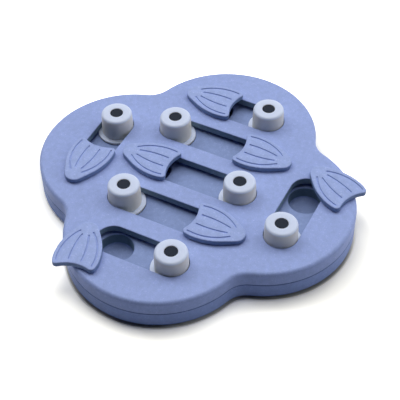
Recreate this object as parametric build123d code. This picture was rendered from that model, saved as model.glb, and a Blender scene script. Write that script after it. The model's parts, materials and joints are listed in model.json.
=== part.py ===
"""Slide-and-swivel treat puzzle board for dogs.

A four-lobed two-shell board stands on rubber feet. Seven straight lanes are cut through the
top plate. In each lane a round slider runs between two treat wells, and over the well at the
lane's other end a fish-tail flipper swivels on a screwed pivot post.

Frame: millimetres, +Z up, origin on the floor under the centre of the board. The long lanes
run along X.
"""

from build123d import *
import os
from collections import namedtuple
from math import asin, atan2, cos, degrees, radians, sin, sqrt

# ---------------------------------------------------------------- board outline
lobe_radius = 72.5
lobe_offset = 58.0  # board centre to the centre of each lobe
notch_radius = 20.0  # concave sweep between two lobes

# ---------------------------------------------------------------- heights of the shells
foot_stand = 1.6  # floor to the tray's bottom rim
tray_height = 14.1  # bottom rim to the parting line
cover_height = 12.5  # parting line to the top face

# ---------------------------------------------------------------- top plate
plate_thickness = 2.8
skirt_wall = 2.6
top_edge_radius = 3.0
slot_width = 26.6
slot_edge_radius = 0.7
rim_depth = 5.6  # top face to the lower edge of a slot's rim
rim_wall = 2.2

# ---------------------------------------------------------------- base tray
tray_wall = 3.0
bottom_edge_radius = 2.2
parting_gap = 0.4  # shadow gap between the shells' rims
parting_edge_radius = 0.3  # both rims beside the gap
spigot_clearance = 0.25  # tray's upstand inside the cover's skirt
spigot_wall = 2.6
deck_drop = 8.3  # top face down to the deck that the sliders run on
deck_thickness = 2.4
shelf_thickness = 2.6
well_radius = 13.4
well_base_radius = 12.4
well_depth = 10.0
well_wall = 2.0
well_edge = 0.8  # bevel round a well's mouth
well_inset = 2.4  # well centre inwards from the slot's end centre
rib_thickness = 1.8
rib_height = 6.0

# ---------------------------------------------------------------- lanes
lane_pitch = 42.0
right_lane_outset = 1.0  # how much further out than two pitches the right lane lies
front_lane_outset = 0.6
short_half = 24.8  # lane centre to the centre of a slot end
long_half = 39.0

# ---------------------------------------------------------------- sliders
slider_height = 12.9  # above the top face
slider_radius = 12.85  # up to the top face
slider_top_radius = 12.35
slider_edge_radius = 2.2
slider_wall = 2.0
slider_roof = 2.4
flange_radius = 16.2
flange_thickness = 2.0
slide_clearance = 0.2  # flange above the deck
pupil_radius = 5.15
pupil_thickness = 1.2
pupil_recess = 0.3  # pupil's face below the slider's top
pupil_chamfer = 0.2
pupil_stem_radius = 2.2
pupil_stem_length = 3.6
pupil_socket_wall = 1.8
plug_clearance = 0.05  # pupil in its socket, all round

# ---------------------------------------------------------------- flippers
pivot_reach = 19.8  # slot end centre to the pivot
flipper_thickness = 4.2
flipper_lift = 0.6  # underside above the top face
flipper_length = 36.6  # pivot to the middle of the hollow end
flipper_half_width = 17.4
flipper_widest = 30.0  # pivot to the widest place
tip_reach = 4.7  # pivot to the tip
tip_radius = 8.2
tip_flare = 29.5  # degrees between the flank and the axis where the tip's arc ends
tip_drop = 0.6  # how far the top face falls away to the tip
tip_drop_start = 10.0  # pivot to where it starts to fall
flank_middle = (14.6, 14.8)
flank_slope = 19.0  # degrees between the flank and the axis there
flank_end_radius = 27.0
tail_radius = 27.0  # hollow sweep of the wide end
tail_corner_radius = 3.2
flipper_edge_radius = 1.1
groove_width = 1.6
groove_depth = 0.6
outer_groove = ((5.3, 5.1), (19.8, 12.8), (36.1, 13.6))
inner_groove = ((8.8, 2.7), (19.8, 4.65), (33.0, 4.8))
flipper_wall = 1.8
flipper_roof = 1.9
post_radius = 3.4
post_clearance = 0.08  # post in its bore, all round
shoulder_radius = 4.2
axial_play = 0.1
pivot_seat_depth = 3.0  # top face down to the washer's seat
washer_radius = 4.9
washer_thickness = 0.8
washer_clearance = 0.35
pivot_boss_wall = 1.6
pivot_screw_radius = 1.2
pivot_screw_length = 5.5
pivot_head_radius = 2.7
pivot_head_height = 1.5
screw_end_space = 0.6  # hole beyond the end of any screw
thread_clearance = 0.05  # screw in its pilot hole, all round

# ---------------------------------------------------------------- case screws and feet
case_screw_radius = 1.5
case_screw_bite = 4.2  # length inside the cover's boss
case_screw_seat = 5.0  # deck's top face down to the screw head's seat
case_head_radius = 2.9
case_head_height = 2.0
case_hole_clearance = 0.3
case_column_wall = 2.4
case_boss_wall = 2.2
case_screw_inset = 14.1  # edge of a lobe in to its case screws
case_screw_angle = 38.0  # degrees between a lobe's own axis and its case screws
foot_radius = 8.0
foot_thickness = 3.2
foot_edge_radius = 0.6
foot_clearance = 0.1
foot_rim_wall = 1.8
foot_backing = 2.0
foot_inset = 18.5  # edge of a lobe in to its foot's centre

# ---------------------------------------------------------------- worked out from the above
parting_z = foot_stand + tray_height
top_z = parting_z + cover_height
under_plate_z = top_z - plate_thickness
rim_z = top_z - rim_depth
deck_z = top_z - deck_drop
under_deck_z = deck_z - deck_thickness
well_floor_z = deck_z - well_depth
spigot_inset = skirt_wall + spigot_clearance
flange_z = deck_z + slide_clearance
slider_top_z = top_z + slider_height
pupil_top_z = slider_top_z - pupil_recess
pupil_disc_z = pupil_top_z - pupil_thickness
pupil_stem_z = pupil_disc_z - pupil_stem_length
flipper_base_z = top_z + flipper_lift
flipper_top_z = flipper_base_z + flipper_thickness
shoulder_z = top_z + axial_play / 2
post_end_z = top_z - pivot_seat_depth - axial_play / 2
washer_z = post_end_z - washer_thickness
washer_seat_radius = washer_radius + washer_clearance
case_seat_z = deck_z - case_screw_seat
case_screw_reach = lobe_radius - case_screw_inset
case_screw_offset = lobe_offset + case_screw_reach * cos(radians(case_screw_angle))
case_screw_spread = case_screw_reach * sin(radians(case_screw_angle))
foot_offset = lobe_offset + lobe_radius - foot_inset

# A lane's own +X runs from its flipper end to its slider end. swing is how far the flipper
# is turned at rest from lying over the lane, in degrees.
Lane = namedtuple("Lane", "name x y heading half swing")
LANES = (
    Lane("left", -2 * lane_pitch, 0, 90, short_half, 0),
    Lane("back", 0, 2 * lane_pitch, 0, short_half, 0),
    Lane("inner_back", 0, lane_pitch, 180, long_half, 0),
    Lane("centre", 0, 0, 0, long_half, 0),
    Lane("inner_front", 0, -lane_pitch, 180, long_half, 0),
    Lane("right", 2 * lane_pitch + right_lane_outset, 0, -90, short_half, 64),
    Lane("front", 0, -2 * lane_pitch - front_lane_outset, 0, short_half, -77),
)
SIDES = (1, -1)
CASE_SCREWS = [
    *((i * case_screw_offset, j * case_screw_spread) for i in SIDES for j in SIDES),
    *((i * case_screw_spread, j * case_screw_offset) for i in SIDES for j in SIDES),
    *((0, j * lane_pitch / 2) for j in SIDES),
]
FEET = {
    "left": (-foot_offset, 0),
    "right": (foot_offset, 0),
    "back": (0, foot_offset),
    "front": (0, -foot_offset),
}


# ---------------------------------------------------------------- helpers
def on_lane(lane, along=0.0):
    """Place on a lane, along mm from its centre towards the slider end."""
    return Pos(lane.x, lane.y, 0) * Rot(0, 0, lane.heading) * Pos(along, 0, 0)


def at_pivot(lane):
    return on_lane(lane, -lane.half - pivot_reach)


def at_wells(lane):
    """The two wells of a lane: below its resting slider and below its flipper."""
    return [on_lane(lane, side * (lane.half - well_inset)) for side in SIDES]


def rod(radius, bottom, top):
    """Upright cylinder on the local Z axis."""
    grow_up = (Align.CENTER, Align.CENTER, Align.MIN)
    return Pos(0, 0, bottom) * Cylinder(radius, top - bottom, align=grow_up)


def turned(points, rounds=()):
    """Solid of revolution about Z of an (r, z) outline. rounds pairs the index of a corner
    with its radius."""
    face = make_face(Polyline(*points, close=True))
    for index, radius in rounds:
        target = Vector(*points[index])
        corner = min(face.vertices(), key=lambda vertex: (Vector(vertex) - target).length)
        face = fillet(corner, radius)
    return revolve(Plane.XZ * face, Axis.Z, 360)


def screw(shank_radius, head_radius, head_height, head_top, end):
    """Pan-head screw that points up, with its head's bearing face at head_top."""
    crown = head_height / 2
    return turned(
        [
            (0, head_top - head_height),
            (head_radius, head_top - head_height),
            (head_radius, head_top),
            (shank_radius, head_top),
            (shank_radius, end),
            (0, end),
        ],
        rounds=[(1, crown)],
    )


# ---------------------------------------------------------------- board outline
def board_outline(inset=0.0):
    """Face of the board's four-lobed outline, drawn in by inset all round."""
    reach = lobe_radius + notch_radius
    across = (lobe_offset + sqrt(2 * reach**2 - lobe_offset**2)) / 2
    sweep = degrees(atan2(across, across - lobe_offset))
    arcs = []
    for quarter in range(4):
        turn = Rot(0, 0, 90 * quarter)
        lobe = CenterArc((lobe_offset, 0), lobe_radius - inset, -sweep, 2 * sweep)
        notch = CenterArc((across, across), notch_radius + inset, 180 + sweep, 90 - 2 * sweep)
        arcs += [turn * lobe, turn * notch]
    return make_face(arcs)


def board_slab(inset, bottom, top):
    return Pos(0, 0, bottom) * extrude(board_outline(inset), top - bottom)


# ---------------------------------------------------------------- top plate
def slot_prism(lane, margin, bottom, top):
    outline = SlotCenterToCenter(2 * lane.half, slot_width + 2 * margin)
    return on_lane(lane) * Pos(0, 0, bottom) * extrude(outline, top - bottom)


def make_top_plate():
    plate = board_slab(0, parting_z, top_z)
    plate = fillet(plate.edges().group_by(Axis.Z)[-1], top_edge_radius)
    plate = fillet(plate.edges().group_by(Axis.Z)[0], parting_edge_radius)
    plate -= board_slab(skirt_wall, parting_z, under_plate_z)
    for lane in LANES:
        plate += slot_prism(lane, rim_wall, rim_z, under_plate_z)
        plate += at_pivot(lane) * rod(
            washer_seat_radius + pivot_boss_wall, rim_z, under_plate_z
        )
    for x, y in CASE_SCREWS:
        plate += Pos(x, y, 0) * rod(case_screw_radius + case_boss_wall, deck_z, under_plate_z)
    for lane in LANES:
        plate -= slot_prism(lane, 0, rim_z, top_z)
    top_face = plate.faces().sort_by(Axis.Z)[-1]
    slot_edges = [edge for wire in top_face.inner_wires() for edge in wire.edges()]
    plate = fillet(slot_edges, slot_edge_radius)
    for lane in LANES:
        plate -= at_pivot(lane) * rod(post_radius + post_clearance, rim_z, top_z)
        plate -= at_pivot(lane) * rod(washer_seat_radius, rim_z, top_z - pivot_seat_depth)
    for x, y in CASE_SCREWS:
        pilot_end = deck_z + case_screw_bite + screw_end_space
        plate -= Pos(x, y, 0) * rod(case_screw_radius + thread_clearance, deck_z, pilot_end)
    return plate


# ---------------------------------------------------------------- base tray
def make_well_cup():
    """Outside of a well below the deck."""
    floor_z = well_floor_z - well_wall
    outline = [
        (0, floor_z),
        (well_base_radius + well_wall, floor_z),
        (well_radius + well_wall, under_deck_z),
        (0, under_deck_z),
    ]
    return turned(outline, rounds=[(1, well_wall)])


def make_well_hollow():
    """Treat space of a well, bevelled round its mouth."""
    outline = [
        (0, well_floor_z),
        (well_base_radius, well_floor_z),
        (well_radius, deck_z - well_edge),
        (well_radius + well_edge, deck_z),
        (0, deck_z),
    ]
    return turned(outline, rounds=[(1, well_wall)])


def make_foot_seat():
    """Cup that holds a foot, hung from the deck on crossed ribs."""
    outer = foot_radius + foot_clearance + foot_rim_wall
    seat_top = foot_thickness + foot_backing
    seat = rod(outer, foot_stand, seat_top)
    rib = Box(2 * outer, rib_thickness, under_deck_z - seat_top)
    rib = Pos(0, 0, (under_deck_z + seat_top) / 2) * rib
    cup = rod(foot_radius + foot_clearance, foot_stand, foot_thickness)
    return seat + rib + Rot(0, 0, 90) * rib - cup


def make_deck_ribs():
    """Ribs under the deck, between the rows of wells and out to the wall."""
    inside = board_slab(tray_wall, under_deck_z - rib_height, under_deck_z)
    across = 4 * lane_pitch
    rib = Pos(0, 0, under_deck_z - rib_height / 2) * Box(across, rib_thickness, rib_height)
    between = 1.5 * lane_pitch
    inner = Pos(0, 0, under_deck_z - rib_height / 2) * Box(
        2 * between, rib_thickness, rib_height
    )
    ribs = [Pos(0, side * between, 0) * rib for side in SIDES]
    ribs += [Rot(0, 0, 90) * rib for rib in ribs]
    ribs += [Pos(0, side * lane_pitch / 2, 0) * inner for side in SIDES]
    return [rib & inside for rib in ribs]


def make_base_tray():
    rim_top_z = parting_z - parting_gap
    shelf_z = rim_top_z - shelf_thickness
    tray = board_slab(0, foot_stand, rim_top_z)
    tray = fillet(tray.edges().group_by(Axis.Z)[0], bottom_edge_radius)
    tray = fillet(tray.edges().group_by(Axis.Z)[-1], parting_edge_radius)
    tray += board_slab(spigot_inset, rim_top_z, deck_z)
    tray -= board_slab(tray_wall, foot_stand, shelf_z)
    tray -= board_slab(spigot_inset + spigot_wall, shelf_z, under_deck_z)
    cup = make_well_cup()
    hollow = make_well_hollow()
    for lane in LANES:
        for place in at_wells(lane):
            tray += place * cup
    for rib in make_deck_ribs():
        tray += rib
    seat = make_foot_seat()
    for x, y in FEET.values():
        tray += Pos(x, y, 0) * seat
    head_bore = case_head_radius + case_hole_clearance
    for x, y in CASE_SCREWS:
        tray += Pos(x, y, 0) * rod(head_bore + case_column_wall, foot_stand, under_deck_z)
    for x, y in CASE_SCREWS:
        tray -= Pos(x, y, 0) * rod(head_bore, foot_stand, case_seat_z)
        tray -= Pos(x, y, 0) * rod(
            case_screw_radius + case_hole_clearance, case_seat_z, deck_z
        )
    for lane in LANES:
        for place in at_wells(lane):
            tray -= place * hollow
    return tray


def make_foot():
    foot = rod(foot_radius, 0, foot_thickness)
    return fillet(foot.edges().group_by(Axis.Z)[0], foot_edge_radius)


def make_case_screws():
    one = screw(
        case_screw_radius,
        case_head_radius,
        case_head_height,
        case_seat_z,
        deck_z + case_screw_bite,
    )
    return Compound(children=[Pos(x, y, 0) * one for x, y in CASE_SCREWS])


# ---------------------------------------------------------------- sliders
def make_slider():
    """Hollow round peg on a flange that is captive under the slot's rim."""
    inner_radius = slider_radius - slider_wall
    roof_z = slider_top_z - slider_roof
    outline = [
        (inner_radius, flange_z),
        (flange_radius, flange_z),
        (flange_radius, flange_z + flange_thickness),
        (slider_radius, flange_z + flange_thickness),
        (slider_radius, top_z),
        (slider_top_radius, slider_top_z),
        (0, slider_top_z),
        (0, roof_z),
        (inner_radius, roof_z),
    ]
    slider = turned(outline, rounds=[(5, slider_edge_radius)])
    bore = pupil_stem_radius + plug_clearance
    slider += rod(bore + pupil_socket_wall, pupil_stem_z, roof_z)
    slider -= rod(pupil_radius + plug_clearance, pupil_disc_z, slider_top_z)
    slider -= rod(bore, pupil_stem_z, pupil_disc_z)
    return slider


def make_pupil():
    """Dark plug, set just below the slider's top."""
    disc = rod(pupil_radius, pupil_disc_z, pupil_top_z)
    disc = chamfer(disc.edges().group_by(Axis.Z)[-1], pupil_chamfer)
    return disc + rod(pupil_stem_radius, pupil_stem_z, pupil_disc_z)


# ---------------------------------------------------------------- flippers
def flipper_outline(inset=0.0):
    """Fish-tail outline with the pivot at the origin and the hollow end towards +X, drawn
    in by inset all round."""
    half_width = flipper_half_width - inset
    tip = CenterArc((tip_radius - tip_reach, 0), tip_radius - inset, 180, tip_flare - 90)
    flare = (cos(radians(tip_flare)), sin(radians(tip_flare)))
    inwards = Vector(sin(radians(flank_slope)), -cos(radians(flank_slope)))
    middle = Vector(*flank_middle) + inset * inwards
    flank = Spline(tip @ 1, middle, (flipper_widest, half_width), tangents=(flare, (1, 0)))
    end_radius = flank_end_radius - inset
    flank_end = CenterArc((flipper_widest, half_width - end_radius), end_radius, 90, -45)
    half = [tip, flank, flank_end]
    closing = Line(flank_end @ 1, mirror(flank_end, Plane.XZ) @ 1)
    face = make_face(half + [mirror(curve, Plane.XZ) for curve in half] + [closing])
    face -= Pos(flipper_length + tail_radius, 0) * Circle(tail_radius + inset)
    corners = face.vertices().sort_by(Axis.X)[-2:]
    return fillet(corners, tail_corner_radius - inset)


def flipper_crown():
    """Long bar whose top is flat at the wide end and falls in an arc to the tip."""
    run = tip_drop_start + tip_reach
    radius = (run**2 + tip_drop**2) / (2 * tip_drop)
    past_tip = 1.1 * run
    fall = CenterArc(
        (tip_drop_start, flipper_top_z - radius), radius, 90, degrees(asin(past_tip / radius))
    )
    far_x = flipper_length + tail_radius
    rest = Polyline(
        fall @ 1,
        ((fall @ 1).X, flipper_base_z),
        (far_x, flipper_base_z),
        (far_x, flipper_top_z),
        fall @ 0,
    )
    side = make_face([fall, rest])
    return extrude(Plane.XZ * side, flipper_half_width + flipper_edge_radius, both=True)


def make_grooves():
    for side in SIDES:
        for points in (outer_groove, inner_groove):
            arc = ThreePointArc(*[(x, side * y) for x, y in points])
            groove = SlotArc(arc, groove_width)
            yield Pos(0, 0, flipper_top_z - groove_depth) * extrude(groove, groove_depth)


def make_flipper():
    """Cored plate with a shoulder that runs on the board and a post through it."""
    body = Pos(0, 0, flipper_base_z) * extrude(flipper_outline(), flipper_thickness)
    body &= flipper_crown()
    middle_z = (flipper_base_z + flipper_top_z) / 2
    rim = [
        edge
        for edge in body.edges()
        if edge.geom_type != GeomType.LINE and edge.center().Z > middle_z
    ]
    body = fillet(rim, flipper_edge_radius)
    roof_z = flipper_top_z - flipper_roof
    core = Pos(0, 0, flipper_base_z) * extrude(
        flipper_outline(flipper_wall), roof_z - flipper_base_z
    )
    core -= rod(shoulder_radius, flipper_base_z, roof_z)
    rib = Box(flipper_length, flipper_wall, roof_z - flipper_base_z)
    core -= Pos(flipper_length / 2, 0, (roof_z + flipper_base_z) / 2) * rib
    body -= core
    body += rod(shoulder_radius, shoulder_z, flipper_base_z)
    body += rod(post_radius, post_end_z, shoulder_z)
    pilot_end = washer_z + pivot_screw_length + screw_end_space
    body -= rod(pivot_screw_radius + thread_clearance, post_end_z, pilot_end)
    for groove in make_grooves():
        body -= groove
    return body


def make_pivot_washer():
    washer = rod(washer_radius, washer_z, post_end_z)
    return washer - rod(pivot_screw_radius + thread_clearance, washer_z, post_end_z)


def make_pivot_screw():
    return screw(
        pivot_screw_radius,
        pivot_head_radius,
        pivot_head_height,
        washer_z,
        washer_z + pivot_screw_length,
    )


# ---------------------------------------------------------------- assembly
def make_nodes():
    nodes = {
        "top_plate": make_top_plate(),
        "base_tray": make_base_tray(),
        "case_screws": make_case_screws(),
    }
    foot = make_foot()
    for name, (x, y) in FEET.items():
        nodes["foot_" + name] = Pos(x, y, 0) * foot
    on_slider = {"slider": make_slider(), "pupil": make_pupil()}
    on_pivot = {
        "flipper": make_flipper(),
        "pivot_washer": make_pivot_washer(),
        "pivot_screw": make_pivot_screw(),
    }
    for lane in LANES:
        for kind, piece in on_slider.items():
            nodes[f"{kind}_{lane.name}"] = on_lane(lane, lane.half) * piece
        for kind, piece in on_pivot.items():
            nodes[f"{kind}_{lane.name}"] = at_pivot(lane) * Rot(0, 0, lane.swing) * piece
    return nodes


def main():
    os.makedirs("parts", exist_ok=True)
    for name, piece in make_nodes().items():
        export_step(piece, f"parts/{name}.step")


if __name__ == "__main__":
    main()
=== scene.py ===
"""Looks of a slide-and-swivel treat puzzle board for dogs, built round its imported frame."""

import json
import math

import bmesh
import bpy
from bpy.props import FloatProperty, FloatVectorProperty, PointerProperty
from mathutils import Matrix, Vector
from mathutils.geometry import delaunay_2d_cdt


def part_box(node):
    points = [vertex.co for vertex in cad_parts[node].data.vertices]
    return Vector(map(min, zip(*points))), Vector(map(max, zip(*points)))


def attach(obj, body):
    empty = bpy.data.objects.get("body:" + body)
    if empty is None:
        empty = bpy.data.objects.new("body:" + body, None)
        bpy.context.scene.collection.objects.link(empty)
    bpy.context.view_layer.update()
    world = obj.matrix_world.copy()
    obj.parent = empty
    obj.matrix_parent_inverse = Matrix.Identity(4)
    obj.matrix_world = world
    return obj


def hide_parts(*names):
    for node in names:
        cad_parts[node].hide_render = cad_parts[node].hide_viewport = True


bl_info = {
    "name": "Treat Puzzle Board",
    "version": (1, 0, 0),
    "blender": (4, 5, 0),
    "location": "View3D > Sidebar > Treat Puzzle",
    "description": "Dresses the sliding and swivelling dog puzzle board and sets its studio",
    "category": "Object",
}

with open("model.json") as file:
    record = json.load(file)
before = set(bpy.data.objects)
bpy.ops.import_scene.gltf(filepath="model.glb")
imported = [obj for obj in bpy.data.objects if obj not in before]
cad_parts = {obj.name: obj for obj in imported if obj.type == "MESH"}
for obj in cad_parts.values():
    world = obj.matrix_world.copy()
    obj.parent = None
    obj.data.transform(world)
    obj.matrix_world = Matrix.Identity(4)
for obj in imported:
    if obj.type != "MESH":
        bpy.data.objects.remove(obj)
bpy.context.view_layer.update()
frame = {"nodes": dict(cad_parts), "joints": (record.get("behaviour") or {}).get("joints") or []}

MM = 0.001
LANE_NAMES = [name.removeprefix("slider_") for name in frame["nodes"] if name.startswith("slider_")]


def joint(name):
    """The record's entry for a joint."""
    return next(entry for entry in frame["joints"] if entry["name"] == name)


# ------------------------------------------------------------------ properties
def colour(name, description, value):
    """Colour, or the tint that a colour is multiplied by."""
    return FloatVectorProperty(
        name=name, description=description, subtype="COLOR", size=3, min=0, max=1, default=value
    )


def length(name, description, millimetres):
    """Length in metres, its default given in millimetres."""
    return FloatProperty(
        name=name, description=description, unit="LENGTH", precision=5, min=0,
        default=millimetres * MM,
    )


def angle(name, description, degrees):
    """Angle in radians, its default given in degrees."""
    return FloatProperty(
        name=name, description=description, subtype="ANGLE", default=math.radians(degrees)
    )


def groove_line(name, description, millimetres):
    """Start, middle and end of a groove as x and y from the pivot."""
    return FloatVectorProperty(
        name=name, description=description, unit="LENGTH", size=6, precision=5,
        default=[value * MM for value in millimetres],
    )


class PuzzleFinish(bpy.types.PropertyGroup):
    """Colours and surface of the moulded plastics."""

    shell: colour("Shell", "Matt periwinkle of both shells", (0.297, 0.380, 0.700))
    tray: colour("Tray Tint", "Tint of the lower shell", (0.80, 0.85, 0.91))
    # Slot Wall is painted shade: it darkens the upright walls inside the board, down in the slots.
    slot_wall_shade: colour("Slot Wall", "Tint of the slots' walls", (0.54, 0.62, 0.46))
    # Seam is painted shade: it darkens the rims beside the gap where the shells meet.
    seam: colour("Seam", "Tint of the rims where the shells meet", (0.62, 0.64, 0.70))
    # Deck is painted shade: it darkens the deck and wells down under the slots.
    shaded_deck: colour("Deck", "Tint of the deck and wells under the slots", (0.93, 0.92, 0.86))
    flipper: colour("Flipper", "Matt plastic of the flippers", (0.315, 0.402, 0.715))
    # Flipper Side is painted shade: it darkens the flippers' upright sides.
    flipper_side_shade: colour("Flipper Side", "Tint of a flipper's side", (0.55, 0.62, 0.63))
    peg: colour("Peg", "Pale plastic of the pegs", (0.63, 0.71, 0.94))
    # Painted light: the pegs are one plastic, and this warmer, less blue colour down their sides
    # stands in for the light that falls on them.
    peg_side_light: colour("Peg Side", "Duller plastic down a peg's side", (0.86, 0.835, 0.76))
    pupil: colour("Pupil", "Dark plug in a peg's top", (0.013, 0.0185, 0.032))
    rubber: colour("Feet", "Soft rubber of the feet", (0.020, 0.020, 0.023))
    steel: colour("Screws", "Zinc-plated steel", (0.560, 0.570, 0.590))
    peg_depth: FloatProperty(
        name="Peg Depth", description="How much light the pegs' pale plastic lets in",
        subtype="FACTOR", default=0.35, min=0, max=1,
    )
    grain: FloatProperty(
        name="Grain", description="Strength of the moulded grain", default=1.0, min=0, max=3
    )
    # Painted glints: light specks in the colour that stand in for small highlights.
    glints: FloatProperty(
        name="Glints", description="How much lighter the shells' and flippers' fine flecks are",
        default=0.18, min=0, max=1,
    )


class PuzzleBoard(bpy.types.PropertyGroup):
    """Sizes of the board's outline."""

    lobe_offset: length("Lobe Offset", "Middle of the board to the middle of a lobe", 58.0)
    lobe_radius: length("Lobe Radius", "Radius of the four lobes", 72.5)
    notch_radius: length("Notch Radius", "Hollow sweep between two lobes", 20.0)


class PuzzlePegs(bpy.types.PropertyGroup):
    """Sizes of a peg and its pupil."""

    foot_radius: length("Foot Radius", "Side of the peg up to the board's top", 12.85)
    top_radius: length("Top Radius", "Side of the peg at its top", 12.35)
    edge_radius: length("Edge Radius", "Rounding round the peg's top", 2.2)
    flange: length("Flange", "Thickness of the flange under the board", 2.0)
    wall: length("Wall", "Wall of the hollow peg", 2.0)
    roof: length("Roof", "Thickness of the peg's top", 2.4)
    pupil_fit: length("Pupil Fit", "Gap all round the pupil", 0.05)
    pupil_disc: length("Pupil Disc", "Thickness of the pupil's disc", 1.2)
    pupil_stem: length("Pupil Stem", "Radius of the pupil's stem", 2.2)
    socket_wall: length("Socket Wall", "Wall round the stem's socket", 1.8)


class PuzzleFlippers(bpy.types.PropertyGroup):
    """Sizes of a fish-tail flipper, measured from its pivot."""

    thickness: length("Thickness", "Underside to top", 4.2)
    tail_reach: length("Tail Reach", "Pivot to the middle of the hollow end", 36.6)
    half_width: length("Half Width", "Centre line to the widest place", 17.4)
    widest: length("Widest", "Pivot to the widest place", 30.0)
    tip_reach: length("Tip Reach", "Pivot to the tip", 4.7)
    tip_radius: length("Tip Radius", "Rounding of the tip", 8.2)
    tip_flare: angle("Tip Flare", "Flank's angle where the tip's arc ends", 29.5)
    tip_drop: length("Tip Drop", "How far the top falls away to the tip", 0.6)
    tip_drop_start: length("Tip Drop Start", "Pivot to where the top starts to fall", 10.0)
    flank_x: length("Flank Along", "Pivot to the middle of the flank", 14.6)
    flank_y: length("Flank Across", "Centre line to the middle of the flank", 14.8)
    flank_slope: angle("Flank Slope", "Flank's angle at its middle", 19.0)
    flank_end_radius: length("Flank End Radius", "Sweep of the flank's end", 27.0)
    tail_radius: length("Tail Radius", "Sweep of the hollow end", 27.0)
    corner_radius: length("Corner Radius", "Rounding of the two tail corners", 3.2)
    edge_radius: length("Edge Radius", "Rounding round the top", 0.8)
    wall: length("Wall", "Wall and rib of the hollow underside", 1.8)
    roof: length("Roof", "Thickness over the hollow underside", 1.9)
    shoulder_radius: length("Shoulder Radius", "Ring that runs on the board", 4.2)
    shoulder: length("Shoulder", "Height of the ring under the flipper", 0.55)
    post_radius: length("Post Radius", "Pivot post in the board's bore", 3.4)
    pilot_radius: length("Pilot Radius", "Screw hole in the post", 1.25)
    pilot_depth: length("Pilot Depth", "Post's end to the bottom of the screw hole", 5.3)
    groove_width: length("Groove Width", "Width of the four grooves", 1.5)
    groove_depth: length("Groove Depth", "Depth of the four grooves", 0.9)
    outer_groove: groove_line(
        "Outer Grooves", "Line of the two outer grooves", (5.3, 5.1, 19.8, 12.8, 36.1, 13.6)
    )
    inner_groove: groove_line(
        "Inner Grooves", "Line of the two inner grooves", (8.8, 2.7, 19.8, 4.65, 33.0, 4.8)
    )
    turn_right: angle("Turn, Right", "Right flipper's turn from lying over its lane", 64.0)
    turn_front: angle("Turn, Front", "Front flipper's turn from lying over its lane", -77.0)


class PuzzleStage(bpy.types.PropertyGroup):
    """Camera, floor and light of the studio."""

    azimuth: angle("Azimuth", "Camera's turn round the board", 27.84)
    elevation: angle("Elevation", "Camera's height over the board", 47.406)
    roll: angle("Roll", "Camera's tilt about its own axis", -1.029)
    distance: length("Distance", "Camera to the middle of the board's top", 820.0)
    slide_x: FloatProperty(
        name="Slide Right", description="Camera's offset to its own right", unit="LENGTH",
        default=0.004244,
    )
    slide_y: FloatProperty(
        name="Slide Up", description="Camera's offset along its own up", unit="LENGTH",
        default=-0.018516,
    )
    lens: FloatProperty(
        name="Lens", description="Focal length on a 36 mm sensor", default=94.23, min=1
    )
    floor: FloatVectorProperty(
        name="Floor", description="Floor's colour, over white so that only shadows show",
        size=3, min=0, max=4, default=(2.05, 2.05, 2.05),
    )
    bounce: colour("Bounce", "Light that the floor throws back on the board", (0.58, 0.62, 0.70))
    # Painted light: a warm tint on the floor near the board that cancels the blue light the board
    # throws onto it.
    bounce_cancel: colour("Warm", "Floor's tint near the board, against the board's blue", (1.0, 0.98, 0.90))
    bounce_cancel_reach: length("Warm Reach", "How far that tint reaches", 80.0)
    shade: colour("Shade", "What the soft shade leaves of the floor's colour", (0.60, 0.60, 0.60))
    shade_reach: length("Shade Reach", "How far the soft shade round the board reaches", 34.0)
    # Painted contact shadow: a dark line on the floor under the board's front edge.
    contact_shadow: colour("Contact", "What the dark line under the edge leaves", (0.30, 0.30, 0.30))
    contact_shadow_reach: length("Contact Reach", "How wide the dark line under the edge is", 2.8)
    lamps: FloatVectorProperty(
        name="Lamps", description="Watts of each soft lamp, in the order of the lamp list",
        size=8, min=0, default=(28.0, 6.8, 20.5, 6.0, 28.5, 6.2, 16.0, 5.0),
    )


# ------------------------------------------------------------------ shader helpers
def feed(tree, socket, value):
    """Links a socket to the socket value, or sets it to the number or colour value."""
    if isinstance(value, bpy.types.NodeSocket):
        tree.links.new(value, socket)
    elif socket.type == "RGBA":
        socket.default_value = (*value, 1)
    else:
        socket.default_value = value


def add_node(tree, kind, inputs=(), **options):
    """Adds a node, sets its options and then feeds its inputs by name."""
    node = tree.nodes.new(kind)
    for option, value in options.items():
        setattr(node, option, value)
    for label, value in dict(inputs).items():
        feed(tree, node.inputs[label], value)
    return node


def math_node(tree, operation, *values):
    """Result of a Math node whose values are sockets or numbers."""
    node = add_node(tree, "ShaderNodeMath", operation=operation)
    for socket, value in zip(node.inputs, values):
        feed(tree, socket, value)
    return node.outputs[0]


def place_of(tree):
    """The shaded point's place in the piece's own frame."""
    return tree.nodes.new("ShaderNodeTexCoord").outputs["Object"]


def axes_of(tree, vector):
    """X, Y and Z of a vector."""
    return add_node(tree, "ShaderNodeSeparateXYZ", {"Vector": vector}).outputs


def noise(tree, place, scale, detail, roughness=0.5):
    """Value of a Noise texture."""
    inputs = {"Vector": place, "Scale": scale, "Detail": detail, "Roughness": roughness}
    return add_node(tree, "ShaderNodeTexNoise", inputs).outputs["Fac"]


def fade(tree, value, full, none):
    """Smooth mask: 1 where value is at full or past it, 0 where it is at none or past it."""
    inputs = {"Value": value, "From Min": full, "From Max": none, "To Min": 1, "To Max": 0}
    node = add_node(tree, "ShaderNodeMapRange", inputs, interpolation_type="SMOOTHSTEP")
    return node.outputs["Result"]


def mixed(tree, mask, first, second, data_type="RGBA", blend_type="MIX"):
    """Goes from first to second, each a socket or a value, as mask goes from 0 to 1."""
    inputs = {"Factor": mask, "A": first, "B": second}
    node = add_node(tree, "ShaderNodeMix", inputs, data_type=data_type, blend_type=blend_type)
    return node.outputs["Result"]


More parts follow.
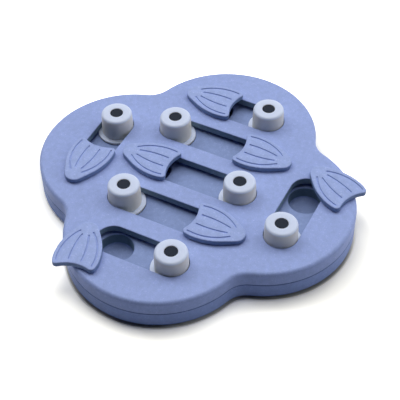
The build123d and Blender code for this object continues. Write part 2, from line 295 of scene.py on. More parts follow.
def colour_between(tree, value, low, high):
    """Colour that goes between two stops, each a position and a colour, as value rises."""
    node = add_node(tree, "ShaderNodeValToRGB", {"Fac": value})
    for stop, (position, tint) in zip(node.color_ramp.elements, (low, high)):
        stop.position = position
        stop.color = (*tint, 1)
    return node.outputs["Color"]


# ------------------------------------------------------------------ shared effects
# Noise values between which a painted glint, and a patch that has painted glints, fades in.
GLINT_EDGE = (0.70, 0.60)
PATCH_EDGE = (0.56, 0.46)


def new_group(name, inputs, outputs):
    """Shader node group with number inputs, given with their defaults, and number outputs."""
    group = bpy.data.node_groups.new(name, "ShaderNodeTree")
    for label, value in inputs.items():
        socket = group.interface.new_socket(label, in_out="INPUT", socket_type="NodeSocketFloat")
        socket.default_value = value
    for label in outputs:
        group.interface.new_socket(label, in_out="OUTPUT", socket_type="NodeSocketFloat")
    given = group.nodes.new("NodeGroupInput").outputs
    result = group.nodes.new("NodeGroupOutput").inputs
    return group, given, result


def moulded_grain_and_glints():
    """Fine speckle and soft clouds of a matt injection moulding, and light specks that are painted
    glints.
    """
    group, given, result = new_group(
        "Moulded Grain And Glints",
        {"Speckle Scale": 900.0, "Cloud Scale": 120.0, "Cloud Share": 0.5, "Glint Scale": 780.0},
        ("Mottle", "Glints", "Height"),
    )
    place = place_of(group)
    speckle = noise(group, place, given["Speckle Scale"], detail=3.0, roughness=0.6)
    cloud = noise(group, place, given["Cloud Scale"], detail=3.0, roughness=0.55)
    fine = noise(group, place, given["Glint Scale"], detail=1.0)
    mottle = mixed(group, given["Cloud Share"], speckle, cloud, data_type="FLOAT")
    glints = fade(group, fine, *GLINT_EDGE)
    patches = fade(group, cloud, *PATCH_EDGE)
    group.links.new(mottle, result["Mottle"])
    group.links.new(math_node(group, "MULTIPLY", glints, patches), result["Glints"])
    group.links.new(speckle, result["Height"])
    return group


def upright_faces():
    """1 on faces that stand upright, 0 on faces that look up or down."""
    group, given, result = new_group(
        "Upright Faces", {"Slope Start": 0.5, "Slope End": 0.1}, ("Mask",)
    )
    facing = group.nodes.new("ShaderNodeTexCoord").outputs["Normal"]
    level = math_node(group, "ABSOLUTE", axes_of(group, facing)["Z"])
    mask = fade(group, level, given["Slope End"], given["Slope Start"])
    group.links.new(mask, result["Mask"])
    return group


def board_outline():
    """Distance in plan from the board's four-lobed outline, negative inside it."""
    group, given, result = new_group(
        "Board Outline",
        {"Lobe Offset": 0.0, "Lobe Radius": 0.0, "Notch Offset": 0.0, "Notch Radius": 0.0},
        ("Distance",),
    )
    place = axes_of(group, place_of(group))
    x, y = (math_node(group, "ABSOLUTE", place[axis]) for axis in "XY")
    along, across = math_node(group, "MAXIMUM", x, y), math_node(group, "MINIMUM", x, y)

    def from_centre(centre_x, centre_y):
        """The way from a centre to the point, along, across and straight."""
        dx = math_node(group, "SUBTRACT", along, centre_x)
        dy = math_node(group, "SUBTRACT", across, centre_y)
        squares = [math_node(group, "MULTIPLY", value, value) for value in (dx, dy)]
        return dx, dy, math_node(group, "SQRT", math_node(group, "ADD", *squares))

    lobe_offset, notch_offset = given["Lobe Offset"], given["Notch Offset"]
    dx, dy, lobe_reach = from_centre(lobe_offset, 0)
    notch_reach = from_centre(notch_offset, notch_offset)[2]
    lobe = math_node(group, "SUBTRACT", lobe_reach, given["Lobe Radius"])
    notch = math_node(group, "SUBTRACT", given["Notch Radius"], notch_reach)
    slant = math_node(group, "SUBTRACT", notch_offset, lobe_offset)
    by_notch = math_node(
        group, "GREATER_THAN",
        math_node(group, "MULTIPLY", dy, slant), math_node(group, "MULTIPLY", dx, notch_offset),
    )
    distance = mixed(group, by_notch, lobe, notch, data_type="FLOAT")
    group.links.new(distance, result["Distance"])
    return group


EFFECTS = {
    "Moulded Grain And Glints": moulded_grain_and_glints,
    "Upright Faces": upright_faces,
    "Board Outline": board_outline,
}


def effect(tree, name, inputs=()):
    """Places a shared effect with a material's own values. The first use builds it."""
    group = bpy.data.node_groups.get(name) or EFFECTS[name]()
    return add_node(tree, "ShaderNodeGroup", inputs, node_tree=group).outputs


# ------------------------------------------------------------------ masks
# How far in from the board's outline its rim ends and its slots may start.
RIM_EDGE = (4 * MM, 5 * MM)
# How far the band of painted shade where the shells meet reaches from its middle, and how low that
# lies.
SEAM_EDGE = (0.35 * MM, 0.75 * MM)
SEAM_DROP = 0.2 * MM


def board_distance(tree):
    """Distance in plan from the board's outline, for the floor and the shells."""
    board = bpy.context.scene.puzzle_board
    reach = board.lobe_radius + board.notch_radius
    slack = math.sqrt(2 * reach**2 - board.lobe_offset**2)
    outline = effect(tree, "Board Outline", {
        "Lobe Offset": board.lobe_offset,
        "Lobe Radius": board.lobe_radius,
        "Notch Offset": (board.lobe_offset + slack) / 2,
        "Notch Radius": board.notch_radius,
    })
    return outline["Distance"]


def inside_mask(tree):
    """1 on the part of the board that holds the slots, 0 on its rim."""
    rim_start, rim_end = RIM_EDGE
    return fade(tree, board_distance(tree), -rim_end, -rim_start)


def seam_shade_mask(tree):
    """1 along the rims of the two shells, where they meet, for the painted shade beside their gap.
    """
    height = axes_of(tree, place_of(tree))["Z"]
    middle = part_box("top_plate")[0].z - SEAM_DROP
    away = math_node(tree, "ABSOLUTE", math_node(tree, "SUBTRACT", height, middle))
    depth = math_node(tree, "MULTIPLY", board_distance(tree), -1)
    return math_node(tree, "MULTIPLY", fade(tree, away, *SEAM_EDGE), fade(tree, depth, *RIM_EDGE))


def side_mask(tree, direction, full, none):
    """1 where the way from the middle along direction is at full or past it, 0 from none on."""
    place = axes_of(tree, place_of(tree))
    along_x = math_node(tree, "MULTIPLY", place["X"], math.cos(direction))
    along_y = math_node(tree, "MULTIPLY", place["Y"], math.sin(direction))
    return fade(tree, math_node(tree, "ADD", along_x, along_y), full, none)


def seen_rays(tree):
    """1 for rays from the camera, a gloss or a glass, 0 for light that bounces about."""
    path = tree.nodes.new("ShaderNodeLightPath").outputs
    mirrored_rays = math_node(
        tree, "MAXIMUM", path["Is Glossy Ray"], path["Is Transmission Ray"]
    )
    return math_node(tree, "MAXIMUM", path["Is Camera Ray"], mirrored_rays)


# ------------------------------------------------------------------ materials
# Share of each channel in a painted glint, which is warmer than the plastic round it.
GLINT_TINT = (1.3, 1.0, 0.5)
# Noise values between which nearly all of the mottle lies.
MOTTLE_LOW, MOTTLE_HIGH = 0.30, 0.70
# How far the roughness of a plastic wanders with its mottle, in all.
ROUGHNESS_SPREAD = 0.12
# Strength of the bump at a grain of 1.
BUMP_STRENGTH = 0.5
# How far light travels in the pale plastic of the pegs.
PEG_GLOW = 6 * MM


def new_material(name):
    """Material with its node tree and its shader."""
    material = bpy.data.materials.new(name)
    material.use_nodes = True
    tree = material.node_tree
    return material, tree, tree.nodes["Principled BSDF"]


def set_shader(tree, shader, inputs):
    """Feeds sockets of a shader by name."""
    for label, value in inputs.items():
        feed(tree, shader.inputs[label], value)


def recolour(material, mask, tint, blend_type="MULTIPLY"):
    """Multiplies a material's colour by tint, or changes it to tint, where mask is 1."""
    tree = material.node_tree
    base = tree.nodes["Principled BSDF"].inputs["Base Color"]
    tinted = mixed(tree, mask, base.links[0].from_socket, tint, blend_type=blend_type)
    tree.links.new(tinted, base)


def plastic(
    name, base, grain, glints=0.0, *, speckle=1100.0, cloud=260.0, cloud_share=0.5,
    spread=0.12, roughness=0.55, bump=0.05 * MM, gloss=0.25,
):
    """Matt moulding, its colour spread either side of base and its grain bump deep, with painted
    glints in its colour when glints is given.
    """
    material, tree, shader = new_material(name)
    surface = effect(tree, "Moulded Grain And Glints", {
        "Speckle Scale": speckle, "Cloud Scale": cloud, "Cloud Share": cloud_share,
    })
    mottle = surface["Mottle"]
    darker = [value * (1 - spread) for value in base]
    lighter = [min(value * (1 + spread), 1) for value in base]
    smoothest = roughness - ROUGHNESS_SPREAD / 2
    relief = add_node(tree, "ShaderNodeBump", {
        "Strength": BUMP_STRENGTH * grain, "Distance": bump, "Height": surface["Height"],
    })
    set_shader(tree, shader, {
        "Base Color": colour_between(
            tree, mottle, (MOTTLE_LOW, darker), (MOTTLE_HIGH, lighter)
        ),
        "Roughness": math_node(tree, "MULTIPLY_ADD", mottle, ROUGHNESS_SPREAD, smoothest),
        "Normal": relief.outputs["Normal"],
        "Specular IOR Level": gloss,
    })
    # Painted glints: lighter, warmer specks in the colour.
    if glints:
        recolour(material, surface["Glints"], [1 + glints * share for share in GLINT_TINT])
    return material


def zinc_steel(name, base, streaks=1500.0, darkest=0.8, smoothest=0.22, roughest=0.47):
    """Bright zinc plating whose tone and roughness wander with fine streaks."""
    material, tree, shader = new_material(name)
    brushed = noise(tree, place_of(tree), streaks, detail=4.0)
    darker = [value * darkest for value in base]
    wander = roughest - smoothest
    set_shader(tree, shader, {
        "Base Color": colour_between(tree, brushed, (0, darker), (1, base)),
        "Roughness": math_node(tree, "MULTIPLY_ADD", brushed, wander, smoothest),
        "Metallic": 1.0,
    })
    return material


def dress(node_name, material):
    """Gives a carried-over CAD node one material."""
    node = frame["nodes"][node_name]
    node.data.materials.clear()
    node.data.materials.append(material)


# ------------------------------------------------------------------ plane curves
def arc(centre, radius, start, end, steps):
    """Points on an arc between two directions, both ends included."""
    turns = [start + (end - start) * step / steps for step in range(steps + 1)]
    return [
        Vector(centre) + radius * Vector((math.cos(turn), math.sin(turn))) for turn in turns
    ]


def arc_through(first, middle, last, steps):
    """Points on the arc through three points."""
    a, b = middle - first, last - first
    cross = 2 * (a.x * b.y - a.y * b.x)
    centre = first + Vector(
        (b.y * a.length_squared - a.y * b.length_squared,
         a.x * b.length_squared - b.x * a.length_squared)
    ) / cross
    start = math.atan2(first.y - centre.y, first.x - centre.x)
    sweep = math.atan2(last.y - centre.y, last.x - centre.x) - start
    return arc(centre, (first - centre).length, start, start + sweep, steps)


def glide(start, start_slope, end, end_slope, steps):
    """Smooth curve between two points with the given slopes, without its first point."""
    start, end = Vector(start), Vector(end)
    reach = (end - start).length
    leaving = reach * Vector((math.cos(start_slope), math.sin(start_slope)))
    coming = reach * Vector((math.cos(end_slope), math.sin(end_slope)))
    points = []
    for step in range(1, steps + 1):
        t = step / steps
        points.append(
            (2 * t**3 - 3 * t**2 + 1) * start
            + (t**3 - 2 * t**2 + t) * leaving
            + (3 * t**2 - 2 * t**3) * end
            + (t**3 - t**2) * coming
        )
    return points


def rounded(corners, steps=5):
    """Closed polygon of (x, y, radius) corners, with an arc where the radius isn't 0."""
    points = []
    for index, (x, y, radius) in enumerate(corners):
        corner = Vector((x, y))
        if not radius:
            points.append(corner)
            continue
        before = (Vector(corners[index - 1][:2]) - corner).normalized()
        after = (Vector(corners[(index + 1) % len(corners)][:2]) - corner).normalized()
        half = before.angle(after) / 2
        centre = corner + (before + after).normalized() * (radius / math.sin(half))
        first = corner + before * radius / math.tan(half) - centre
        last = corner + after * radius / math.tan(half) - centre
        start = math.atan2(first.y, first.x)
        sweep = (math.atan2(last.y, last.x) - start + math.pi) % math.tau - math.pi
        points += arc(centre, radius, start, start + sweep, steps)
    return points


def slot_loop(line, half_width, cap_steps=6):
    """Closed row of points at half_width round a line, with round ends."""
    normals = []
    for index in range(len(line)):
        ahead = line[min(index + 1, len(line) - 1)] - line[max(index - 1, 0)]
        normals.append(Vector((-ahead.y, ahead.x)).normalized())
    left = [point + half_width * normal for point, normal in zip(line, normals)]
    right = [point - half_width * normal for point, normal in zip(line, normals)]
    end_turn = math.atan2(normals[-1].y, normals[-1].x)
    start_turn = math.atan2(-normals[0].y, -normals[0].x)
    end_cap = arc(line[-1], half_width, end_turn, end_turn - math.pi, cap_steps)[1:-1]
    start_cap = arc(line[0], half_width, start_turn, start_turn - math.pi, cap_steps)[1:-1]
    return left + end_cap + right[::-1] + start_cap


def encloses(loop, point):
    """Whether a closed loop of plane points holds a point."""
    x, y = point
    hit = False
    for (x0, y0), (x1, y1) in zip(loop, loop[1:] + loop[:1]):
        if (y0 > y) != (y1 > y) and x < (x1 - x0) * (y - y0) / (y1 - y0) + x0:
            hit = not hit
    return hit


# ------------------------------------------------------------------ mesh helpers
# Vertices nearer than this are one, and edges shorter than the second are none.
MERGE_REACH = 1e-7
EDGE_LEAST = 1e-8


def ring(bm, points, height):
    """Closed row of vertices, height being a number or a function of the plane point."""
    rise = height if callable(height) else (lambda point: height)
    return [bm.verts.new((point[0], point[1], rise(point))) for point in points]


def skin(bm, rings, closed=False):
    """Quads between rows of equal length, and back to the first row if closed."""
    for lower, upper in zip(rings, rings[1:] + rings[:1] if closed else rings[1:]):
        for index in range(len(lower)):
            bm.faces.new([lower[index - 1], lower[index], upper[index], upper[index - 1]])


def fill(bm, outer, holes=(), extra=()):
    """Face within one row of vertices and round the holes, through the extra vertices."""
    rows = [outer, *holes]
    verts = [vert for row in rows for vert in row] + list(extra)
    edges = []
    first = 0
    for row in rows:
        edges += [(first + index, first + (index + 1) % len(row)) for index in range(len(row))]
        first += len(row)
    flat = [Vector((vert.co.x, vert.co.y)) for vert in verts]
    places, _, faces, sources, _, _ = delaunay_2d_cdt(flat, edges, [], 0, MERGE_REACH)
    outlines = [[(vert.co.x, vert.co.y) for vert in row] for row in rows]
    for face in faces:
        middle = sum((places[index] for index in face), Vector((0, 0))) / len(face)
        in_hole = any(encloses(outline, middle) for outline in outlines[1:])
        if encloses(outlines[0], middle) and not in_hole:
            bm.faces.new([verts[sources[index][0]] for index in face])


def lathe(bm, outline, steps=96):
    """Turns a closed outline of (radius, height) points about Z."""
    rows = []
    for index in range(steps):
        turn = math.tau * index / steps
        rows.append([bm.verts.new((r * math.cos(turn), r * math.sin(turn), z)) for r, z in outline])
    skin(bm, rows, closed=True)


def finished(bm, name, crease=math.radians(35)):
    """Mesh of a closed bmesh, smooth but for edges sharper than crease."""
    bmesh.ops.remove_doubles(bm, verts=bm.verts, dist=MERGE_REACH)
    bmesh.ops.dissolve_degenerate(bm, edges=bm.edges, dist=EDGE_LEAST)
    bmesh.ops.recalc_face_normals(bm, faces=bm.faces)
    mesh = bpy.data.meshes.new(name)
    bm.to_mesh(mesh)
    bm.free()
    mesh.shade_smooth()
    mesh.set_sharp_from_angle(angle=crease)
    return mesh


def add_object(name, data):
    """New object in the scene."""
    thing = bpy.data.objects.new(name, data)
    bpy.context.scene.collection.objects.link(thing)
    return thing


def place_piece(name, mesh, place, body, node):
    """Puts a piece in the frame in a CAD node's stead."""
    piece = add_object(name, mesh)
    piece.matrix_world = place
    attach(piece, body)
    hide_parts(node)
    return piece


# ------------------------------------------------------------------ pegs
def peg_mesh(size):
    """Hollow round peg on its flange, with the pupil's socket in its top."""
    low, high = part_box("slider_centre")
    pupil_low, pupil_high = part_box("pupil_centre")
    flange_radius = (high.x - low.x) / 2
    flange_top = low.z + size.flange
    inner = size.foot_radius - size.wall
    socket = (pupil_high.x - pupil_low.x) / 2 + size.pupil_fit
    disc_low = pupil_high.z - size.pupil_disc
    bore = size.pupil_stem + size.pupil_fit
    boss = bore + size.socket_wall
    board_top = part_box("top_plate")[1].z
    ceiling = high.z - size.roof
    soft, crisp = 0.3 * MM, 0.15 * MM
    bm = bmesh.new()
    lathe(bm, rounded([
        (inner, low.z, crisp),
        (flange_radius, low.z, soft),
        (flange_radius, flange_top, soft),
        (size.foot_radius, flange_top, soft),
        (size.foot_radius, board_top, 0),
        (size.top_radius, high.z, size.edge_radius),
        (socket, high.z, soft),
        (socket, disc_low, 0),
        (bore, disc_low, 0),
        (bore, pupil_low.z, 0),
        (boss, pupil_low.z, crisp),
        (boss, ceiling, crisp),
        (inner, ceiling, crisp),
    ]))
    return finished(bm, "peg")


def pupil_mesh(size):
    """Dark plug with a softly rounded disc and a stem."""
    low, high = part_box("pupil_centre")
    radius = (high.x - low.x) / 2
    disc_low = high.z - size.pupil_disc
    soft, crisp = 0.3 * MM, 0.2 * MM
    bm = bmesh.new()
    lathe(bm, rounded([
        (0, low.z, 0),
        (size.pupil_stem, low.z, crisp),
        (size.pupil_stem, disc_low, 0),
        (radius, disc_low, 0),
        (radius, high.z, soft),
        (0, high.z, 0),
    ]), steps=64)
    return finished(bm, "pupil")


# ------------------------------------------------------------------ flippers
# A groove's cross-section from its lip to its bottom, as shares of half its width and its depth.
GROOVE_SECTION = (
    (1.2, 0), (1, 0.03), (0.88, 0.15), (0.74, 0.5), (0.58, 0.85), (0.38, 0.97), (0, 1)
)
# Steps that the curves of a flipper are divided into.
TIP_STEPS = 10
FLANK_STEPS = 10
CORNER_STEPS = 8
TAIL_STEPS = 14
EDGE_STEPS = 7
GROOVE_STEPS = 24
SHOULDER_STEPS = 10
SHOULDER_TIP_STEPS = 8


def flipper_half(size, inset=0.0):
    """Half of the outline from the tip's middle round to the tail's middle, moved in by inset."""
    quarter = math.pi / 2
    tip_centre = (size.tip_radius - size.tip_reach, 0)
    tip_end = quarter + size.tip_flare
    tip = arc(tip_centre, size.tip_radius - inset, math.pi, tip_end, TIP_STEPS)
    inwards = Vector((math.sin(size.flank_slope), -math.cos(size.flank_slope)))
    middle = Vector((size.flank_x, size.flank_y)) + inset * inwards
    widest = (size.widest, size.half_width - inset)
    flank = glide(tip[-1], size.tip_flare, middle, size.flank_slope, FLANK_STEPS)
    flank += glide(middle, size.flank_slope, widest, 0, FLANK_STEPS)
    end_centre = Vector((size.widest, size.half_width - size.flank_end_radius))
    tail_centre = Vector((size.tail_reach + size.tail_radius, 0))
    near = size.flank_end_radius - size.corner_radius
    far = size.tail_radius + size.corner_radius
    apart = tail_centre - end_centre
    along = (apart.length_squared + near**2 - far**2) / (2 * apart.length)
    aside = math.sqrt(near**2 - along**2)
    forward = apart.normalized()
    corner = end_centre + along * forward + aside * Vector((-forward.y, forward.x))
    leave = math.atan2(corner.y - end_centre.y, corner.x - end_centre.x)
    enter = math.atan2(corner.y - tail_centre.y, corner.x - tail_centre.x)
    end = arc(end_centre, size.flank_end_radius - inset, quarter, leave, CORNER_STEPS)[1:]
    turn = arc(corner, size.corner_radius - inset, leave, enter - math.pi, CORNER_STEPS)[1:]
    tail = arc(tail_centre, size.tail_radius + inset, enter, math.pi, TAIL_STEPS)[1:]
    return tip + flank + end + turn + tail


def mirrored(points):
    """The same points on the other side of the centre line."""
    return [Vector((point.x, -point.y)) for point in points]


def flipper_outline(size, inset=0.0):
    """Whole fish-tail outline, moved in by inset."""
    half = flipper_half(size, inset)
    return half + mirrored(half[1:-1])[::-1]


def core_half(size):
    """Half of the hollow underside: its edge on the shoulder and its edge on the walls."""
    radius, rib = size.shoulder_radius, size.wall / 2
    walls = flipper_half(size, size.wall)
    index = next(i for i, point in enumerate(walls) if point.length > radius)
    inner, step = walls[index - 1], walls[index] - walls[index - 1]
    a, b, c = step.length_squared, inner.dot(step), inner.length_squared - radius**2
    crossing = inner + step * ((math.sqrt(b * b - a * c) - b) / a)
    walls = [point for point in walls[index:] if point.y > rib]
    walls.append(Vector((size.tail_reach - size.wall, rib)))
    first = math.asin(rib / radius)
    last = math.atan2(crossing.y, crossing.x)
    return arc((0, 0), radius, first, last, SHOULDER_STEPS), walls


def flipper_crown(size, top):
    """Height of the top over a plane point: flat, but falling in an arc to the tip."""
    run = size.tip_drop_start + size.tip_reach
    radius = (run**2 + size.tip_drop**2) / (2 * size.tip_drop)

    def height(point):
        fall = max(size.tip_drop_start - point[0], 0)
        return top - radius + math.sqrt(radius**2 - fall**2)

    return height


def rim_rows(bm, size, base, crown):
    """Skins a flipper's side and rounded edge. Gives the rows that its underside and top join."""
    soft = 0.25 * MM
    rows = [
        ring(bm, flipper_outline(size, soft), base),
        ring(bm, flipper_outline(size), base + soft),
    ]
    for step in range(EDGE_STEPS + 1):
        turn = math.pi / 2 * step / EDGE_STEPS
        inset = size.edge_radius * (1 - math.cos(turn))
        drop = size.edge_radius * (1 - math.sin(turn))
        rows.append(ring(bm, flipper_outline(size, inset), lambda point: crown(point) - drop))
    rows.append(ring(bm, flipper_outline(size, size.edge_radius + soft), crown))
    skin(bm, rows)
    return rows[0], rows[-1]


def cut_groove(bm, line, size, crown):
    """Soft-lipped groove along a line. Gives the row that its surroundings join."""
    half_width = size.groove_width / 2
    rows = []
    for share, depth in GROOVE_SECTION:
        points = slot_loop(line, half_width * share)
        rows.append(ring(bm, points, lambda point: crown(point) - depth * size.groove_depth))
    skin(bm, rows)
    return rows[0]


def cut_grooves(bm, size, crown):
    """The four grooves. Gives the rows that the top joins."""
    lips = []
    for values in (size.outer_groove, size.inner_groove):
        points = [Vector(values[index:index + 2]) for index in (0, 2, 4)]
        line = arc_through(*points, GROOVE_STEPS)
        lips += [cut_groove(bm, side, size, crown) for side in (line, mirrored(line))]
    return lips


def tip_crest(bm, crown):
    """Vertices within the top, over the pivot, that carry its fall to the tip."""
    return [
        bm.verts.new((x * MM, y * MM, crown((x * MM, 0))))
        for x in range(-2, 11, 2) for y in (-1, 1)
    ]


def core_rows(bm, shared, walls, base, ceiling):
    """Hollows both halves of the underside. Gives the rows that the underside joins."""
    edges = []
    for core in (shared + walls, mirrored(shared + walls)):
        edge, roof = ring(bm, core, base), ring(bm, core, ceiling)
        skin(bm, [edge, roof])
        fill(bm, roof)
        edges.append(edge)
    return edges


def post_row(bm, size, shared, base, end):
    """Shoulder, pivot post and its screw hole. Gives the row that the underside joins."""
    cross = math.atan2(shared[-1].y, shared[-1].x)
    tip_side = arc(
        (0, 0), size.shoulder_radius, cross, math.tau - cross, SHOULDER_TIP_STEPS
    )[1:-1]
    circle = shared + tip_side + mirrored(shared)[::-1]
    section = (
        (size.shoulder_radius, base),
        (size.shoulder_radius, base - size.shoulder),
        (size.post_radius, base - size.shoulder),
        (size.post_radius, end),
        (size.pilot_radius, end),
        (size.pilot_radius, end + size.pilot_depth),
    )
    rows = [
        ring(bm, [point * (radius / size.shoulder_radius) for point in circle], height)
        for radius, height in section
    ]
    skin(bm, rows)
    fill(bm, rows[-1])
    return rows[0]


def flipper_mesh(size):
    """Cored fish tail with a soft rim, four grooves, its shoulder and its pivot post."""
    low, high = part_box("flipper_centre")
    base = high.z - size.thickness
    crown = flipper_crown(size, high.z)
    shared, walls = core_half(size)
    bm = bmesh.new()
    underside, top = rim_rows(bm, size, base, crown)
    grooves = cut_grooves(bm, size, crown)
    fill(bm, top, grooves, tip_crest(bm, crown))
    cores = core_rows(bm, shared, walls, base, high.z - size.roof)
    fill(bm, underside, [*cores, post_row(bm, size, shared, base, low.z)])
    return finished(bm, "flipper")


# ------------------------------------------------------------------ operators for the pieces
class DressShells(bpy.types.Operator):
    """Give both shells their matt periwinkle moulding, with painted shade in the slots and along
    the seam
    """

    bl_idname = "puzzle.dress_shells"
    bl_label = "Shells"

    def execute(self, context):
        finish = context.scene.puzzle_finish
        for name, tint in (("top_plate", (1, 1, 1)), ("base_tray", finish.tray)):
            base = [value * share for value, share in zip(finish.shell, tint)]
            material = plastic(
                name + "_plastic", base, finish.grain, finish.glints, bump=0.06 * MM
            )
            tree = material.node_tree
            inside = inside_mask(tree)
            if name == "base_tray":
                # Painted shade on the deck and wells down in the slots.
                recolour(material, inside, finish.shaded_deck)
            upright = effect(tree, "Upright Faces")["Mask"]
            # Painted shade on the upright walls of the slots and wells.
            recolour(material, math_node(tree, "MULTIPLY", upright, inside), finish.slot_wall_shade)
            # Painted shade along the rims beside the gap where the shells meet.
            recolour(material, seam_shade_mask(tree), finish.seam)
            dress(name, material)
        return {"FINISHED"}


class MakePegs(bpy.types.Operator):
    """Finish the seven pegs and their dark pupils"""

    bl_idname = "puzzle.make_pegs"
    bl_label = "Pegs"

    def execute(self, context):
        finish = context.scene.puzzle_finish
        pale = plastic(
            "peg_plastic", finish.peg, finish.grain, speckle=1400.0, cloud=200.0,
            cloud_share=0.6, spread=0.03, roughness=0.45, bump=0.02 * MM,
        )
        tree = pale.node_tree
        # Painted light: the upright sides take a warmer, less blue colour for the light that falls
        # on them.
        recolour(pale, effect(tree, "Upright Faces")["Mask"], finish.peg_side_light, "MIX")
        set_shader(tree, tree.nodes["Principled BSDF"], {
            "Subsurface Weight": finish.peg_depth,
            "Subsurface Radius": (1, 1, 1),
            "Subsurface Scale": PEG_GLOW,
        })
        dark = plastic(
            "pupil_plastic", finish.pupil, finish.grain, speckle=1400.0, cloud=400.0,
            spread=0.25, roughness=0.6, bump=0.03 * MM, gloss=0.1,
        )
        size = context.scene.puzzle_pegs
        peg, pupil = peg_mesh(size), pupil_mesh(size)
        peg.materials.append(pale)
        pupil.materials.append(dark)
        for lane in LANE_NAMES:
            low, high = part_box("slider_" + lane)
            middle = (low + high) / 2
            place = Matrix.Translation((middle.x, middle.y, 0))
            body = "peg_" + lane
            place_piece("moulded_peg_" + lane, peg, place, body, "slider_" + lane)
            place_piece("pupil_plug_" + lane, pupil, place, body, "pupil_" + lane)
        return {"FINISHED"}


class MakeFlippers(bpy.types.Operator):
    """Finish the seven fish-tail flippers"""

    bl_idname = "puzzle.make_flippers"
    bl_label = "Flippers"

    def execute(self, context):
        finish = context.scene.puzzle_finish
        material = plastic("flipper_plastic", finish.flipper, finish.grain, finish.glints)
        # Painted shade on the flippers' upright sides.
        upright = effect(material.node_tree, "Upright Faces")["Mask"]
        recolour(material, upright, finish.flipper_side_shade)
        size = context.scene.puzzle_flippers
        flipper = flipper_mesh(size)
        flipper.materials.append(material)
        turns = {"right": size.turn_right, "front": size.turn_front}
        for lane in LANE_NAMES:
            pivot = joint("swing_" + lane)["pos_m"]
            lane_back = joint("slide_" + lane)["axis"]
            heading = math.atan2(-lane_back[1], -lane_back[0])
            place = Matrix.Translation((pivot[0], pivot[1], 0))
            place @= Matrix.Rotation(heading + turns.get(lane, 0), 4, "Z")
            place_piece(
                "fish_tail_" + lane, flipper, place, "flap_" + lane, "flipper_" + lane
            )
        return {"FINISHED"}


class DressFastenings(bpy.types.Operator):
    """Finish the screws, washers and rubber feet"""

    bl_idname = "puzzle.dress_fastenings"
    bl_label = "Screws and feet"

    def execute(self, context):
        finish = context.scene.puzzle_finish
        steel = zinc_steel("zinc_steel", finish.steel)
        rubber = plastic(
            "foot_rubber", finish.rubber, finish.grain, speckle=700.0, cloud=200.0,
            cloud_share=0.4, spread=0.3, roughness=0.8,
        )
        dress("case_screws", steel)
        for lane in LANE_NAMES:
            dress("pivot_screw_" + lane, steel)
            dress("pivot_washer_" + lane, steel)
        for name in frame["nodes"]:
            if name.startswith("foot_"):
                dress(name, rubber)
        return {"FINISHED"}


# ------------------------------------------------------------------ stage
FLOOR_HALF = 3.0
# The painted soft shade ends on the way to the front left, and the painted contact shadow, a dark
# line, lies only under the front edge. Each is full at the first place along its way from the
# middle, and gone at the second.
SHADE_TURN = math.radians(-35)
SHADE_EDGE = (20 * MM, 80 * MM)
CONTACT_SHADOW_EDGE = (70 * MM, 20 * MM)
# Each soft lamp's turn round the board, clockwise from straight behind it, and its height, both
# in degrees.
LAMPS = {
    "high_behind": (0, 78),
    "behind": (0, 50),
    "behind_right": (45, 50),
    "right": (90, 50),
    "behind_left": (315, 50),
    "low_behind_right": (60, 22),
    "low_right": (90, 22),
    "low_left": (300, 22),
}
LAMP_REACH = 3.0
LAMP_SIZE = 1.4
LAMP_AIM = Vector((0, 0, 0.02))
SENSOR_WIDTH = 36.0


def floor_colour(tree, stage):
    """The floor as seen, with painted shade, a painted contact shadow and a painted warm tint near
    the board, and plain for the light that it bounces.
    """
    distance = board_distance(tree)
    front = stage.azimuth - math.radians(90)
    # Painted tint near the board, against the blue light that the board bounces onto the floor.
    near = fade(tree, distance, 0, stage.bounce_cancel_reach)
    behind = math_node(
        tree, "MULTIPLY", fade(tree, distance, 0, stage.shade_reach),
        side_mask(tree, front + SHADE_TURN, *SHADE_EDGE),
    )
    # Painted contact shadow under the front edge.
    under = math_node(
        tree, "MULTIPLY", fade(tree, distance, 0, stage.contact_shadow_reach),
        side_mask(tree, front, *CONTACT_SHADOW_EDGE),
    )
    shown = stage.floor
    for mask, tint in ((near, stage.bounce_cancel), (behind, stage.shade), (under, stage.contact_shadow)):
        shown = mixed(tree, mask, shown, tint, blend_type="MULTIPLY")
    return mixed(tree, seen_rays(tree), stage.bounce, shown)


def make_floor(stage):
    """Pale floor, with painted shade near the board, that goes on past what the camera sees."""
    corners = [
        (x * FLOOR_HALF, y * FLOOR_HALF, 0) for x, y in ((-1, -1), (1, -1), (1, 1), (-1, 1))
    ]
    mesh = bpy.data.meshes.new("floor")
    mesh.from_pydata(corners, [], [(0, 1, 2, 3)])
    material, tree, shader = new_material("studio_floor")
    set_shader(tree, shader, {
        "Base Color": floor_colour(tree, stage),
        "Roughness": 1.0,
        "Specular IOR Level": 0.0,
    })
    mesh.materials.append(material)
    add_object("floor", mesh)


def make_world():
    """White all round for the camera and for reflections, which throws no light."""
    world = bpy.data.worlds.new("studio")
    bpy.context.scene.world = world
    world.use_nodes = True
    tree = world.node_tree
    set_shader(tree, tree.nodes["Background"], {
        "Color": (1, 1, 1), "Strength": seen_rays(tree),
    })


def make_lamps(stage):
    """Soft square lamps round the board, all aimed at its middle."""
    for (name, (turn, height)), watts in zip(LAMPS.items(), stage.lamps):
        turn, height = stage.azimuth - math.radians(turn), math.radians(height)
        away = Vector((-math.sin(turn), math.cos(turn), 0)) * math.cos(height)
        away.z = math.sin(height)
        light = bpy.data.lights.new(name, "AREA")
        light.shape = "SQUARE"
        light.size = LAMP_SIZE
        light.energy = watts
        lamp = add_object(name, light)
        lamp.location = LAMP_REACH * away
        lamp.rotation_mode = "QUATERNION"
        lamp.rotation_quaternion = (LAMP_AIM - lamp.location).to_track_quat("-Z", "Y")


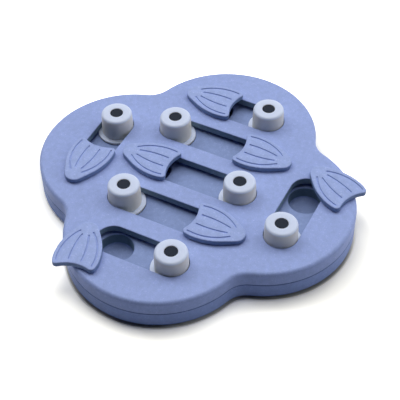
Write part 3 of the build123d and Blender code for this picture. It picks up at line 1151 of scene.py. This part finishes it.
def make_camera(stage):
    """Camera that looks down on the board's top from the stage's angles."""
    az, el = stage.azimuth, stage.elevation
    back = Vector((math.sin(az) * math.cos(el), -math.cos(az) * math.cos(el), math.sin(el)))
    level_right = Vector((math.cos(az), math.sin(az), 0))
    level_up = back.cross(level_right)
    right = math.cos(stage.roll) * level_right + math.sin(stage.roll) * level_up
    up = math.cos(stage.roll) * level_up - math.sin(stage.roll) * level_right
    top = Vector((0, 0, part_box("top_plate")[1].z))
    offset = stage.slide_x * right + stage.slide_y * up
    data = bpy.data.cameras.new("camera")
    data.lens = stage.lens
    data.sensor_width = SENSOR_WIDTH
    camera = add_object("camera", data)
    camera.location = top + stage.distance * back + offset
    camera.rotation_mode = "QUATERNION"
    camera.rotation_quaternion = Matrix((right, up, back)).transposed().to_quaternion()
    bpy.context.scene.camera = camera


class SetStage(bpy.types.Operator):
    """Put up the pale floor, the soft lights and the camera"""

    bl_idname = "puzzle.set_stage"
    bl_label = "Stage"

    def execute(self, context):
        stage = context.scene.puzzle_stage
        make_floor(stage)
        make_world()
        make_lamps(stage)
        make_camera(stage)
        context.scene.view_settings.view_transform = "Standard"
        return {"FINISHED"}


# ------------------------------------------------------------------ panel and start
OPERATORS = (DressShells, MakePegs, MakeFlippers, DressFastenings, SetStage)
SETTINGS = {
    "puzzle_finish": PuzzleFinish,
    "puzzle_board": PuzzleBoard,
    "puzzle_pegs": PuzzlePegs,
    "puzzle_flippers": PuzzleFlippers,
    "puzzle_stage": PuzzleStage,
}


class PuzzlePanel(bpy.types.Panel):
    """Steps, finishes and sizes of the puzzle board"""

    bl_idname = "VIEW3D_PT_puzzle"
    bl_label = "Treat Puzzle"
    bl_space_type = "VIEW_3D"
    bl_region_type = "UI"
    bl_category = "Treat Puzzle"

    def draw(self, context):
        for step in OPERATORS:
            self.layout.operator(step.bl_idname)
        for setting, kind in SETTINGS.items():
            box = self.layout.box()
            for name in kind.__annotations__:
                box.prop(getattr(context.scene, setting), name)


CLASSES = (*SETTINGS.values(), *OPERATORS, PuzzlePanel)


def register():
    """Adds the settings, the steps and the panel to Blender."""
    for cls in CLASSES:
        bpy.utils.register_class(cls)
    for setting, kind in SETTINGS.items():
        setattr(bpy.types.Scene, setting, PointerProperty(type=kind))


def unregister():
    """Takes them out again."""
    for setting in SETTINGS:
        delattr(bpy.types.Scene, setting)
    for cls in reversed(CLASSES):
        bpy.utils.unregister_class(cls)


def main():
    """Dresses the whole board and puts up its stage."""
    register()
    bpy.ops.puzzle.dress_shells()
    bpy.ops.puzzle.make_pegs()
    bpy.ops.puzzle.make_flippers()
    bpy.ops.puzzle.dress_fastenings()
    bpy.ops.puzzle.set_stage()


if __name__ == "__main__":
    main()
